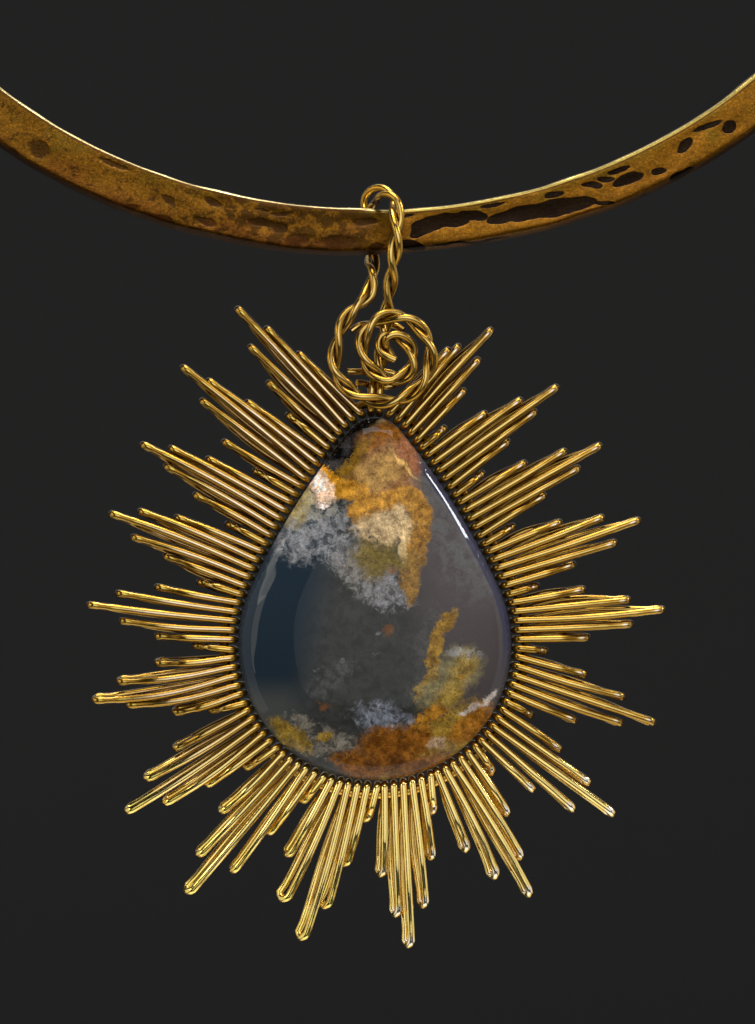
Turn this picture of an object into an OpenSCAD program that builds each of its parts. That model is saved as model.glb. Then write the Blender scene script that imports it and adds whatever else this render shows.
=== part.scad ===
// Agate necklace: a hammered neck ring, and hanging on it a wire sunburst round a pear-shaped agate.
// Millimetres. +Z up, the pendant faces -Y, and the origin is the centre of the neck ring.

/* [Neck ring] */
// Radius of the ring, to the middle of the strip
ring_r = 64.7; // [62:0.1:70]
// Width of the hammered strip
strip_w = 5.2; // [5.0:0.1:5.4]
// Thickness of the strip
strip_t = 1.6; // [1.4:0.1:1.7]
// Angle of the ring's plane above the horizontal, as worn
ring_tilt = 64; // [62:1:66]
// Length of the clasp sleeve along the ring
clasp_l = 16; // [10:1:24]
// Wall of the clasp sleeve
clasp_wall = 0.8; // [0.6:0.1:1.2]

/* [Stone] */
// Width of the pear cabochon
stone_w = 30; // [29:0.5:31]
// Height of the pear cabochon
stone_h = 40; // [39:0.5:41]
// Radius of the pear's tip
tip_r = 3.4; // [3:0.1:4]
// Radius of the pear's flanks
flank_r = 80; // [70:1:95]
// Height of the dome in front of the girdle
dome_front = 4.6; // [3.5:0.1:5]
// Height of the dome behind the girdle
dome_back = 2.4; // [1.5:0.1:3]

/* [Wires] */
// Radius of the wire of the rays, the bail and the coil
wire_r = 0.4; // [0.35:0.01:0.42]
// Radius of the frame wire that the rays are bent round
frame_r = 0.45; // [0.4:0.01:0.5]
// Radius of a ray's bend round the frame, to the middle of the wire
root_r = 1.15; // [1.12:0.01:1.2]
// Radius of a ray's bend at its tip, to the middle of the wire
bend_r = 0.55; // [0.45:0.01:0.6]
// How much thicker the wire is in its bends
bend_swell = 0.02; // [0.015:0.005:0.03]
// Clearance between the ray bends and the stone
stone_gap = 0.1; // [0.08:0.01:0.2]

/* [Pendant] */
// How far the pendant hangs to the right of the ring's middle
pendant_x = 0.8; // [-2:0.1:2]
// Drop from the strip's middle to the middle of the stone's belly
pendant_drop = 45.7; // [45.5:0.1:46]
// Depth of the swing axis in front of the stone's girdle, which puts it over the pendant's centre of mass
axis_fwd = 0.45; // [0.2:0.05:0.8]
// Length along the wire of one full twist of the bail's two wires
twist_pitch = 7.4; // [7:0.1:8.5]

/* [Hidden] */

wire_fn = 40;
brass = [0.80, 0.62, 0.28];
dark_brass = [0.62, 0.46, 0.22];
agate_grey = [0.36, 0.38, 0.40];

// The strip leaves this gap between its ends, inside the clasp, and this clearance to the clasp's walls
ends_gap = 1;
clasp_clear = 0.15;

// The pear's outline is three kinds of arc: the belly round the origin, the tip above it, and two flanks
belly_r = stone_w / 2;
tip_z = stone_h - belly_r - tip_r;
flank_z = (tip_z * tip_z - (belly_r - tip_r) * (2 * flank_r - belly_r - tip_r)) / (2 * tip_z);
flank_x = sqrt(pow(flank_r - belly_r, 2) - flank_z * flank_z);
belly_turn = atan2(-flank_z, flank_x);
tip_turn = atan2(tip_z - flank_z, flank_x);

// The frame wire runs parallel to the stone's outline at this distance
frame_off = stone_gap + wire_r + bend_swell + root_r;

// A straight or slacker stretch of wire runs on this far inside the end of a bend
lap = 0.1;

// The rays stand at one pitch along the frame wire, apart from a gap at the top for the bail's two hooks
rays_per_cluster = 6;
cluster_count = 18;
ray_count = rays_per_cluster * cluster_count - 1;
hook_gap = 4.6;
frame_half = arc_mm(90 - tip_turn, tip_r) + arc_mm(tip_turn - belly_turn, flank_r) + arc_mm(90 + belly_turn, belly_r);
ray_pitch = (2 * frame_half - hook_gap) / (ray_count - 1);

// One row for each cluster, from the top round the left side, the bottom and the right side:
// [direction of its longest ray, length of that ray, turn from one ray to the next]
clusters = [
    [134, 17.0, 1.2],
    [144, 17.6, 1.2],
    [152, 16.7, 0.6],
    [159, 16.4, 1.2],
    [173, 15.7, 2.0],
    [190, 15.3, 3.0],
    [213, 16.7, 3.0],
    [231, 18.0, 2.8],
    [252, 17.3, 3.4],
    [274, 17.4, 3.4],
    [300, 16.4, 3.6],
    [323, 16.1, 2.8],
    [342, 15.8, 3.0],
    [364, 15.8, 2.8],
    [379, 16.0, 2.0],
    [389, 16.0, 1.0],
    [396, 15.5, 1.2],
    [408, 13.8, 1.0]
];
// Length of each ray of a cluster, as a share of its longest
ray_share = [0.51, 0.79, 1.00, 0.76, 0.49, 0.23];
longest_ray = 2;
// A loop leans sideways, so that its back leg shows beside its front leg
ray_lean = 12;

// The bail's pair of wires, from its hook under the frame wire to the coil: [right, forward, up]
hook_path = [
    [0, -root_r, frame_top() + 2.4],
    [0, -root_r, frame_top()],
    [0, -root_r * cos(45), frame_top() - root_r * sin(45)],
    [0, 0, frame_top() - root_r],
    [0, root_r * cos(45), frame_top() - root_r * sin(45)],
    [0, root_r, frame_top()]
];
leg_path = [
    [0.15, 1.15, 28.6],
    [0.6, 1.1, 31],
    [1.0, 1.1, 34],
    [1.3, 1.2, 36.4],
    [1.6, 2.2, 38.8],
    [1.95, 3.5, 41.2],
    [2.2, 4.4, 43.4],
    [2.35, 4.4, 45.2],
    [2.4, 3.9, 47.0],
    [2.1, 2.9, 48.5]
];
arch_path = [
    [1.3, 1.7, 49.2],
    [0.4, 0.4, 49.45],
    [-0.4, -0.9, 49.1],
    [-0.8, -1.9, 48.1],
    [-0.8, -2.2, 46.8],
    [-0.6, -1.7, 45.2],
    [-0.4, -0.5, 43.6],
    [-0.3, 0.7, 42.3],
    [-0.3, 1.8, 41.0]
];
// The coil, turning inwards round its middle: [angle, radius]
coil_x = 1.2;
coil_z = 31.85;
coil_fwd = 3.0;
coil_turns = [
    [107, 6.9],
    [130, 6.1],
    [160, 5.6],
    [200, 5.8],
    [240, 5.3],
    [285, 5.1],
    [330, 5.05],
    [375, 4.95],
    [420, 4.7],
    [460, 4.1],
    [500, 3.2],
    [550, 2.4],
    [600, 2.25],
    [645, 2.9],
    [690, 3.15],
    [735, 2.85],
    [780, 2.45],
    [815, 2.0]
];
coil_tail = [
    [0.85, coil_fwd, 32.7],
    [1.55, coil_fwd, 31.9],
    [2.2, coil_fwd, 31.3]
];
// The first wires of the coil turn out of the bail at these depths
coil_entry = [2.6, 2.9];
// Distance from the middle of the pair to the middle of each of its wires
pair_off = 0.45;
pair_step = 0.8;
tube_sides = 8;

// Two bent ends of wire behind the coil: [right, forward, up]
tie_r = 0.38;
tie_path_1 = [
    [-3.1, 1.5, 30.1],
    [-1.6, 1.0, 30.1],
    [0, -0.25, 30.1],
    [1.4, -0.25, 30.1],
    [2.2, -0.25, 29.8],
    [2.5, -0.25, 29.2],
    [2.1, -0.25, 28.7],
    [1.3, -0.25, 28.5],
    [0, -0.2, 28.5],
    [-1.1, 0.9, 28.8],
    [-2.0, 1.4, 28.9]
];
tie_path_2 = [
    [-2.6, 1.9, 34.6],
    [-1.7, 1.7, 35.2],
    [-0.7, 0.7, 35.4],
    [0.2, -0.4, 35.4],
    [1.4, -0.6, 35.4],
    [2.4, 0.2, 35.3],
    [2.7, 1.2, 35.2]
];

// Place of the strip's front, of the swing axis at the round of its top edge, and of the pendant
strip_y = -ring_r * cos(ring_tilt);
strip_z = -ring_r * sin(ring_tilt);
edge_in = (strip_w - strip_t) / 2;
axis_y = strip_y + edge_in * cos(ring_tilt);
axis_z = strip_z + edge_in * sin(ring_tilt);
pendant_y = axis_y + axis_fwd;
pendant_z = strip_z - pendant_drop;

// Lengths and places along the pear's outline

function arc_mm(turn, radius) = (radius + frame_off) * turn * PI / 180;
function frame_top() = stone_h - belly_r + frame_off;

// Point of the outline, off millimetres outside the stone, where its outward normal has the given angle.
// The angle runs from 90 at the tip round the left side to 270 at the bottom.
function pear_left(normal, off) =
    normal < 180 - tip_turn ? [0, tip_z] + (tip_r + off) * [cos(normal), sin(normal)]
    : normal < 180 - belly_turn ? [flank_x, flank_z] + (flank_r + off) * [cos(normal), sin(normal)]
    : (belly_r + off) * [cos(normal), sin(normal)];

// Normal's angle at a distance along the left half of the frame wire, from its top
function frame_normal(run) =
    let (
        tip_run = arc_mm(90 - tip_turn, tip_r),
        flank_run = arc_mm(tip_turn - belly_turn, flank_r)
    )
    run < tip_run ? 90 + run / (tip_r + frame_off) * 180 / PI
    : run < tip_run + flank_run ? 180 - tip_turn + (run - tip_run) / (flank_r + frame_off) * 180 / PI
    : 180 - belly_turn + (run - tip_run - flank_run) / (belly_r + frame_off) * 180 / PI;

// Place of a ray's root on the frame wire, as [right, up]
function ray_root(index) =
    let (
        run = hook_gap / 2 + index * ray_pitch,
        left = run <= frame_half,
        p = pear_left(frame_normal(left ? run : 2 * frame_half - run), frame_off)
    )
    [left ? p.x : -p.x, p.y];

// Smooth routes and round wires along them

function unit(v) = v / norm(v);
function last(v) = v[len(v) - 1];

// Point at t, from 0 to 1, on the smooth curve from route point i to the next one
function route_point(p, i, t) =
    let (
        a = p[max(i - 1, 0)],
        b = p[i],
        c = p[i + 1],
        d = p[min(i + 2, len(p) - 1)]
    )
    0.5 * (2 * b + (c - a) * t + (2 * a - 5 * b + 4 * c - d) * t * t + (3 * b - a - 3 * c + d) * t * t * t);

function smooth_route(p, step) = [
    for (i = [0:len(p) - 2])
        let (n = max(1, ceil(norm(p[i + 1] - p[i]) / step)))
        for (k = [0:n - 1]) route_point(p, i, k / n),
    last(p)
];

function tangents(q) = [
    for (i = [0:len(q) - 1]) unit(q[min(i + 1, len(q) - 1)] - q[max(i - 1, 0)])
];

// One sideways direction at each point, carried along without turning about the route
function carried(t, start) = [
    for (i = 0, n = unit(start - t[0] * (start * t[0]));
        i < len(t);
        i = i + 1, n = unit(n - t[min(i, len(t) - 1)] * (n * t[min(i, len(t) - 1)]))) n
];

// Distance along the route at each point
function runs(q) = [
    for (i = 0, s = 0; i < len(q); s = s + norm(q[min(i + 1, len(q) - 1)] - q[i]), i = i + 1) s
];

// Middle line of one of two wires that are twisted together from a start point on
function strand(q, turn, free_run) =
    let (
        t = tangents(q),
        n = carried(t, [1, 0, 0]),
        s = runs(q)
    )
    [
        for (i = [0:len(q) - 1])
            let (a = turn + 360 * max(0, s[i] - free_run) / twist_pitch)
            q[i] + pair_off * (cos(a) * n[i] + sin(a) * cross(t[i], n[i]))
    ];

module tube(path, radius) {
    t = tangents(path);
    n = carried(t, abs(t[0].x) < 0.9 ? [1, 0, 0] : [0, 1, 0]);
    count = len(path);
    points = [
        for (i = [0:count - 1], k = [0:tube_sides - 1])
            let (a = 360 * k / tube_sides)
            path[i] + radius * (cos(a) * n[i] + sin(a) * cross(t[i], n[i]))
    ];
    sides = [
        for (i = [0:count - 2], k = [0:tube_sides - 1])
            let (
                a = i * tube_sides + k,
                b = i * tube_sides + (k + 1) % tube_sides
            )
            [a, a + tube_sides, b + tube_sides, b]
    ];
    first_cap = [for (k = [0:tube_sides - 1]) k];
    last_cap = [for (k = [tube_sides - 1:-1:0]) (count - 1) * tube_sides + k];
    polyhedron(points, concat([first_cap, last_cap], sides));
}

// A route given as [right, forward, up], in the pendant's own place
function facing(path) = [for (p = path) [p.x, -p.y, p.z]];

module on_pendant() {
    translate([pendant_x, pendant_y, pendant_z]) children();
}

// The neck ring and its clasp

module strip_section(grow) {
    square([strip_w - strip_t, strip_t + 2 * grow], center = true);
    for (side = [-1, 1])
        translate([side * edge_in, 0]) circle(strip_t / 2 + grow, $fn = wire_fn);
}

module neck_ring() {
    gap_turn = ends_gap / ring_r * 180 / PI;
    color(dark_brass)
        rotate([ring_tilt, 0, 0])
        rotate([0, 0, 90 + gap_turn / 2])
        rotate_extrude(angle = 360 - gap_turn, $fn = 180)
        translate([ring_r, 0]) strip_section(0);
}

module clasp() {
    sleeve_turn = clasp_l / ring_r * 180 / PI;
    color(dark_brass)
        rotate([ring_tilt, 0, 0])
        rotate([0, 0, 90 - sleeve_turn / 2])
        rotate_extrude(angle = sleeve_turn, $fn = 360)
        translate([ring_r, 0])
        difference() {
            strip_section(clasp_clear + clasp_wall);
            strip_section(clasp_clear);
        }
}

// The pendant

module arc_wire(radius, from, to, swell) {
    rotate([0, 0, from])
        rotate_extrude(angle = to - from, $fn = 240)
        translate([radius + frame_off, 0]) circle(frame_r + swell, $fn = wire_fn);
}

module frame_wire() {
    flank_lap = lap / flank_r * 180 / PI;
    color(dark_brass) on_pendant() rotate([90, 0, 0]) {
        arc_wire(belly_r, 180 - belly_turn, 360 + belly_turn, bend_swell);
        translate([0, tip_z]) arc_wire(tip_r, tip_turn, 180 - tip_turn, bend_swell);
        translate([-flank_x, flank_z]) arc_wire(flank_r, belly_turn - flank_lap, tip_turn + flank_lap, 0);
        translate([flank_x, flank_z])
            arc_wire(flank_r, 180 - tip_turn - flank_lap, 180 - belly_turn + flank_lap, 0);
    }
}

module agate() {
    around = 96;
    rows = 9;
    // Angles of the outline's normal, closer together round the tip
    half = concat(
        [for (k = [0:7]) 90 + (90 - tip_turn) * k / 8],
        [for (k = [0:3]) 180 - tip_turn + (tip_turn - belly_turn) * k / 4],
        [for (k = [0:around / 2 - 13]) 180 - belly_turn + (90 + belly_turn) * k / (around / 2 - 12)]
    );
    left = [for (a = half) pear_left(a, 0)];
    outline = concat(left, [[0, -belly_r]], [for (k = [len(left) - 1:-1:1]) [-left[k].x, left[k].y]]);
    n = len(outline);
    middle = [0, (stone_h - 2 * belly_r) / 3];
    // Each row is the outline drawn in towards the middle, and raised on a steep round rim
    shares = [for (k = [0:rows - 1]) cos(90 * k / rows)];
    function ring(share, depth, power) = [
        for (p = outline)
            let (q = middle + (p - middle) * share)
            [q.x, depth * sqrt(1 - pow(share, power)), q.y]
    ];
    points = concat(
        [for (k = [rows - 1:-1:1]) each ring(shares[k], dome_back, 4)],
        ring(1, 0, 1),
        [for (k = [1:rows - 1]) each ring(shares[k], -dome_front, 2.6)],
        [[middle.x, dome_back, middle.y], [middle.x, -dome_front, middle.y]]
    );
    rings = 2 * rows - 1;
    sides = [
        for (i = [0:rings - 2], k = [0:n - 1])
            let (
                a = i * n + k,
                b = i * n + (k + 1) % n
            )
            each [[a, b, b + n], [a, b + n, a + n]]
    ];
    back_fan = [for (k = [0:n - 1]) [(k + 1) % n, k, rings * n]];
    front_fan = [for (k = [0:n - 1]) [(rings - 1) * n + k, (rings - 1) * n + (k + 1) % n, rings * n + 1]];
    color(agate_grey) on_pendant() polyhedron(points, concat(sides, back_fan, front_fan));
}

// One hairpin ray along +X from its root bend, which goes round the frame wire at the origin
module hairpin(reach) {
    span = reach - wire_r - bend_swell - bend_r;
    taper = asin((root_r - bend_r) / span);
    rotate([0, 0, 90 - taper])
        rotate_extrude(angle = 180 + 2 * taper, $fn = wire_fn)
        translate([root_r, 0]) circle(wire_r + bend_swell, $fn = wire_fn);
    translate([span, 0])
        rotate([0, 0, taper - 90])
        rotate_extrude(angle = 180 - 2 * taper, $fn = wire_fn)
        translate([bend_r, 0]) circle(wire_r + bend_swell, $fn = wire_fn);
    for (side = [-1, 1])
        translate(root_r * [sin(taper), side * cos(taper)])
            rotate([0, 90, -side * taper])
            translate([0, 0, -lap])
            cylinder(h = span * cos(taper) + 2 * lap, r = wire_r, $fn = wire_fn);
}

module rays(cluster) {
    row = clusters[cluster];
    first = cluster * rays_per_cluster;
    count = min(rays_per_cluster, ray_count - first);
    color(brass) on_pendant()
        for (k = [0:count - 1]) {
            root = ray_root(first + k);
            direction = row[0] + row[2] * (k - longest_ray);
            translate([root.x, 0, root.y])
                rotate([0, -direction, 0])
                rotate([ray_lean, 0, 0])
                hairpin(row[1] * ray_share[k]);
        }
}

module bail_wire(turn) {
    coil_path = [
        for (k = [0:len(coil_turns) - 1])
            let (row = coil_turns[k])
            [
                coil_x + row[1] * cos(row[0]),
                k < len(coil_entry) ? coil_entry[k] : coil_fwd,
                coil_z + row[1] * sin(row[0])
            ]
    ];
    path = facing(concat(hook_path, leg_path, arch_path, coil_path, coil_tail));
    route = smooth_route(path, pair_step);
    hook_run = PI * root_r + 4;
    color(brass) on_pendant() tube(strand(route, turn, hook_run), wire_r);
}

module bail_wire_1() {
    bail_wire(0);
}

module bail_wire_2() {
    bail_wire(180);
}

module tie_wire_1() {
    color(brass) on_pendant() tube(smooth_route(facing(tie_path_1), pair_step), tie_r);
}

module tie_wire_2() {
    color(brass) on_pendant() tube(smooth_route(facing(tie_path_2), pair_step), tie_r);
}

neck_ring();
clasp();
bail_wire_1();
bail_wire_2();
frame_wire();
agate();
tie_wire_1();
tie_wire_2();
rays(0);  // rays_01
rays(1);  // rays_02
rays(2);  // rays_03
rays(3);  // rays_04
rays(4);  // rays_05
rays(5);  // rays_06
rays(6);  // rays_07
rays(7);  // rays_08
rays(8);  // rays_09
rays(9);  // rays_10
rays(10);  // rays_11
rays(11);  // rays_12
rays(12);  // rays_13
rays(13);  // rays_14
rays(14);  // rays_15
rays(15);  // rays_16
rays(16);  // rays_17
rays(17);  // rays_18
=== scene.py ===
"""Agate necklace: the finish and the fine shapes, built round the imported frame.

Millimetres are used for sizes on the necklace, and metres for every mesh. A place on the pendant is
given as [right, forward, up] in millimetres from the middle of the stone's round belly.
"""

import math
import random

import bpy
from bpy.props import FloatProperty, FloatVectorProperty, IntProperty, PointerProperty
from bpy.types import Operator, Panel, PropertyGroup
from mathutils import Matrix, Quaternion, Vector


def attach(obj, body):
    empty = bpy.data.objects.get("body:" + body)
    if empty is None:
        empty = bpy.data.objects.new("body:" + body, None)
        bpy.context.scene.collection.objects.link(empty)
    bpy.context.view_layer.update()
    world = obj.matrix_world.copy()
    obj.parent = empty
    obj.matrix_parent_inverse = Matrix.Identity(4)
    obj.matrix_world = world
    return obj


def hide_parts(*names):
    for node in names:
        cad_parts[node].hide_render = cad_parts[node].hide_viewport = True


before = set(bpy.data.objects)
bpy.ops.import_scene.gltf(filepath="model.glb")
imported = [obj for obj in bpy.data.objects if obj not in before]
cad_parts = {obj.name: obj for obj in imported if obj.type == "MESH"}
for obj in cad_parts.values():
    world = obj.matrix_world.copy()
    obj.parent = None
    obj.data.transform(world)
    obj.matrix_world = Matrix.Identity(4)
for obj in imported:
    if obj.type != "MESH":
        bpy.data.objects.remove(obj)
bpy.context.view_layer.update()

bl_info = {
    "name": "Agate necklace",
    "version": (1, 0, 0),
    "blender": (4, 5, 0),
    "location": "View3D > Sidebar > Necklace",
    "description": "Hammered neck ring with a wire sunburst pendant round a pear-shaped agate",
    "category": "Object",
}

MM = 0.001
# The pendant's origin in the frame, and the neck ring: its middle line, its lean and half its thickness
PENDANT = Vector((0.8, -27.124, -103.852))
RING_RADIUS = 64.7
RING_TILT = math.radians(64)
HALF_THICKNESS = 0.8

# Pixels of the photograph: how many make a millimetre, its height, and where the middle of the belly lies
PHOTO_SCALE = 9.05
PHOTO_HEIGHT = 1024
PHOTO_BELLY = (375, 644.25)

# The pear's outline: belly round the origin, tip above it, and two flanks
BELLY_R = 15.0
TIP_R = 3.4
FLANK_R = 80.0
STONE_HEIGHT = 40.0
TIP_Z = STONE_HEIGHT - BELLY_R - TIP_R
FLANK_Z = (TIP_Z**2 - (BELLY_R - TIP_R) * (2 * FLANK_R - BELLY_R - TIP_R)) / (2 * TIP_Z)
FLANK_X = math.sqrt((FLANK_R - BELLY_R) ** 2 - FLANK_Z**2)
BELLY_TURN = math.atan2(-FLANK_Z, FLANK_X)
TIP_TURN = math.atan2(TIP_Z - FLANK_Z, FLANK_X)
# The stone's edge lies this far forward, and the polished stone this far outside the outline
GIRDLE = 1.1
STONE_OFF = 0.06

# The frame wire runs this far outside the stone, and the rays are bent round it
FRAME_OFF = 1.67
ROOT_R = 1.15
BEND_R = 0.55
HOOK_GAP = 4.6
RAYS_PER_CLUSTER = 6
RAY_COUNT = 107

# Tips of the rays, read off in pixels of the photograph, cluster by cluster from the top round the left
RAY_TIP_PIXELS = [
    [(296, 351), (265, 326), (236, 306), (248, 344), (266, 380), (285, 413)],
    [(245, 400), (206, 378), (180, 365), (199, 398), (221, 440), (252, 469)],
    [(205, 457), (168, 446), (140, 442), (163, 464), (192, 493), (225, 522)],
    [(173, 516), (137, 509), (108, 512), (130, 536), (162, 555), (196, 581)],
    [(153, 586), (114, 593), (85, 604), (118, 621), (153, 636), (191, 645)],
    [(153, 664), (115, 683), (91, 702), (124, 707), (171, 715), (207, 712)],
    [(172, 751), (144, 782), (125, 814), (163, 806), (205, 788), (243, 771)],
    [(220, 815), (198, 859), (188, 897), (232, 875), (268, 837), (302, 805)],
    [(288, 860), (285, 905), (304, 943), (328, 911), (347, 869), (367, 824)],
    [(384, 879), (399, 918.5), (412, 949), (427, 909), (434, 861), (435, 816)],
    [(470, 852), (500, 879), (533, 897), (524, 860), (511, 816), (496, 775)],
    [(536, 792), (577, 811), (617, 815), (592, 784.5), (563, 751), (535, 717)],
    [(579, 721), (625, 724), (657, 723), (627, 698), (589, 675), (550, 651)],
    [(591, 638), (635, 624), (666, 610), (632, 600), (587, 589), (541, 585)],
    [(577, 564), (618, 542), (642, 519), (606, 517), (563, 521), (516, 525)],
    [(547, 494), (581, 467), (603, 444), (568, 450), (528, 461), (485, 471)],
    [(511, 440), (538, 410), (560, 385), (523, 398), (488, 412), (447, 426)],
    [(466, 388), (481, 357), (494, 327.5), (461, 344), (451, 347)],
]
# By cluster: how far a back leg lies beside its front leg at the tip and half way, and how far a ray bows,
# all counter-clockwise
RAY_SWAY = [
    [0.10, 0.75, 0.0], [0.10, 0.70, -0.1], [0.10, 0.65, -0.15], [0.10, 0.80, -0.2], [0.05, 0.30, 0.2],
    [-0.50, -0.60, 0.5], [-0.45, -0.50, 0.3], [-0.65, -0.60, 0.15], [-1.00, -0.75, 0.2],
    [-0.75, -0.70, 0.0], [-0.70, -0.60, 0.15], [-0.30, -0.20, 0.1], [-0.25, 0.40, -0.1],
    [0.20, 0.70, -0.1], [0.15, 0.70, 0.0], [0.15, 0.70, 0.0], [0.15, 0.70, 0.0], [0.15, 0.60, 0.0],
]

# The bail's pair of wires, from its hook under the frame wire to the coil: [right, forward, up]
FRAME_TOP = 26.67
BAIL_LEG = [
    [0.15, 1.15, 28.6], [0.6, 1.1, 31], [1.0, 1.1, 34], [1.3, 1.2, 36.4], [1.6, 2.2, 38.8],
    [1.95, 3.5, 41.2], [2.2, 4.4, 43.4], [2.35, 4.4, 45.2], [2.4, 3.9, 47.0], [2.1, 2.9, 48.7],
]
BAIL_ARCH = [
    [1.3, 1.7, 49.55], [0.4, 0.4, 49.85], [-0.4, -0.9, 49.4], [-0.8, -1.9, 48.1], [-0.8, -2.2, 46.8],
    [-0.6, -1.7, 45.2], [-0.4, -0.7, 43.3], [-0.3, 0.5, 41.95], [-0.3, 1.7, 40.8],
]
# The coil, turning inwards round its middle: [angle, radius, forward]
COIL_MIDDLE = (1.2, 31.85)
COIL_TURNS = [
    [107, 6.9, 2.6], [130, 6.1, 2.9], [160, 5.6, 3.0], [200, 5.8, 3.0], [240, 5.3, 3.0], [285, 5.1, 3.0],
    [330, 5.05, 3.0], [375, 4.95, 3.0], [420, 4.7, 3.0], [460, 4.1, 3.0], [500, 3.2, 3.0],
    [550, 2.4, 3.0], [600, 2.25, 3.0], [645, 2.9, 3.0], [690, 3.15, 3.0], [735, 2.85, 3.0],
    [780, 2.45, 3.0], [815, 2.0, 3.0],
]
COIL_TAIL = [[0.85, 3.0, 32.7], [1.55, 3.0, 31.9], [2.2, 3.0, 31.3]]
PAIR_OFF = 0.45
TWIST_PITCH = 8.0

TIE_WIRE_1 = [
    [-3.1, 1.5, 30.1], [-1.6, 1.0, 30.1], [0, -0.25, 30.1], [1.4, -0.25, 30.1], [2.2, -0.25, 29.8],
    [2.5, -0.25, 29.2], [2.1, -0.25, 28.7], [1.3, -0.25, 28.5], [0, -0.2, 28.5], [-1.1, 0.9, 28.8],
    [-2.0, 1.4, 28.9],
]
TIE_WIRE_2 = [
    [-2.6, 1.9, 34.6], [-1.7, 1.7, 35.2], [-0.7, 0.7, 35.4], [0.2, -0.4, 35.4], [1.4, -0.6, 35.4],
    [2.4, -0.3, 35.2], [3.1, -0.1, 34.7],
]

# Dark dents of the hammer, in pixels of the photograph: where the middle lies, half the length, half the
# width, and how far it is turned. They were read off, and some were then moved to fit better
DENT_PIXELS = [
    [37.3, 147.3, 12, 8.5, -35], [8.3, 148.1, 9.3, 2.6, -33], [113.3, 162.7, 15, 2.8, -20],
    [108, 201.3, 16, 2, -25], [132.4, 206.4, 9, 3.2, 6], [149.8, 217.6, 18.5, 5, -8],
    [163, 222, 12, 7, -12], [167.3, 200, 7, 4.2, -40], [212, 202.7, 11, 3.6, -24],
    [207.6, 222, 9.5, 4.2, -22], [196.3, 233.3, 18, 3.7, -14], [237, 242.5, 19, 3.3, -8],
    [263.5, 224, 14, 4.1, -4], [279.3, 228.7, 7, 6, 0], [281.3, 214.3, 12, 2, 2],
    [260, 210.7, 6, 2, -10], [296, 240.7, 11, 6.5, 10], [337.3, 243.3, 21, 7.3, 0],
    [365.3, 222.7, 13, 4.6, 3], [377, 247, 8, 3.7, 10], [408.3, 215.3, 9, 1.8, 8],
    [421.2, 230.1, 14, 5, 41], [432.9, 225.1, 20, 8.1, 15], [447.7, 220.9, 22, 8.1, 2.5],
    [472.1, 216.1, 17, 5.7, 2], [504.1, 216.9, 16.5, 6.1, 12.5], [525.4, 214, 22.2, 9, 9.6],
    [553.9, 208.4, 27.1, 9.4, 14], [492.3, 204.7, 13, 2.2, 12], [552.7, 195, 9.5, 3.1, 15],
    [411.7, 246.4, 14, 5, -12], [465, 243.3, 45, 1.2, 7.6], [576.7, 203.2, 17.3, 6.9, 8.2],
    [601.2, 202.5, 14, 2.4, 0.5], [591.9, 184.8, 12, 3.1, 2.4], [607.6, 178.6, 10.7, 2.9, 3.3],
    [620.4, 169.7, 12.4, 3.3, 15.8], [630.9, 178.6, 15, 5.8, 23], [659.5, 170, 8, 3.7, 12],
    [683.3, 172.4, 14, 3.5, 24], [686.8, 143.2, 9.5, 5.5, 43], [708.3, 124.2, 15, 3.1, 22],
    [730.2, 125, 9, 6.4, 28],
]

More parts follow.
